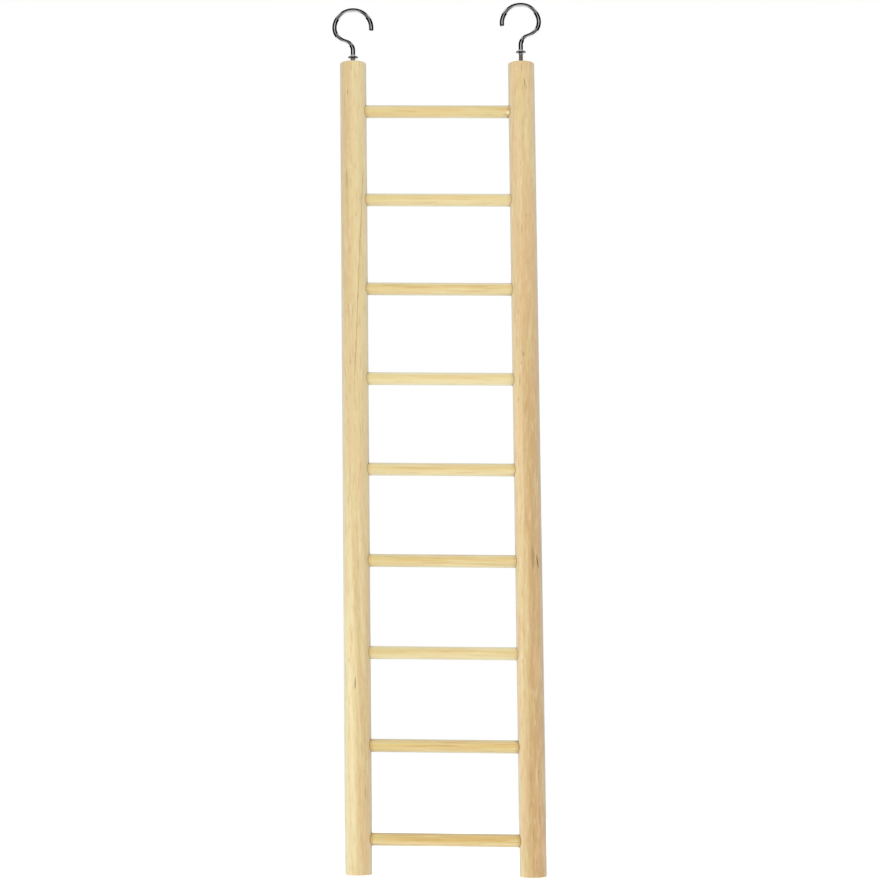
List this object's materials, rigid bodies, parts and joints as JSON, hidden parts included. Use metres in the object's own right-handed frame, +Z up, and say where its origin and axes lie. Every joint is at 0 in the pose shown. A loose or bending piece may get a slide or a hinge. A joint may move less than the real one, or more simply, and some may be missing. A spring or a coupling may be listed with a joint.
{
  "type": "bird ladder",
  "caption": "Hanging wooden cage ladder: round dowel rails joined by thinner round rungs glued into blind sockets, with a plated screw hook in the top of each rail.",
  "frame": {"origin": "midway between the rails' axes, level with the lower end of the right rail, which is the lowest point", "axes": "+Z up along the rails, +X from the left rail to the right rail, -Y towards the viewer"},
  "size_m": [0.1114, 0.014, 0.4593],
  "materials": {
    "rail_wood": "bare pale hardwood dowel, sanded, with fine straight grain and small dark flecks",
    "rung_wood": "bare pale yellow dowel, sanded, with grain along each rung",
    "hook_plating": "bright nickel plate on steel wire"
  },
  "bodies": {
    "root": {"rail_left": "rail_wood", "rail_right": "rail_wood", "rung_1": "rung_wood", "rung_2": "rung_wood", "rung_3": "rung_wood", "rung_4": "rung_wood", "rung_5": "rung_wood", "rung_6": "rung_wood", "rung_7": "rung_wood", "rung_8": "rung_wood", "rung_9": "rung_wood", "hook_left": "hook_plating", "hook_right": "hook_plating"}
  },
  "joints": []
}
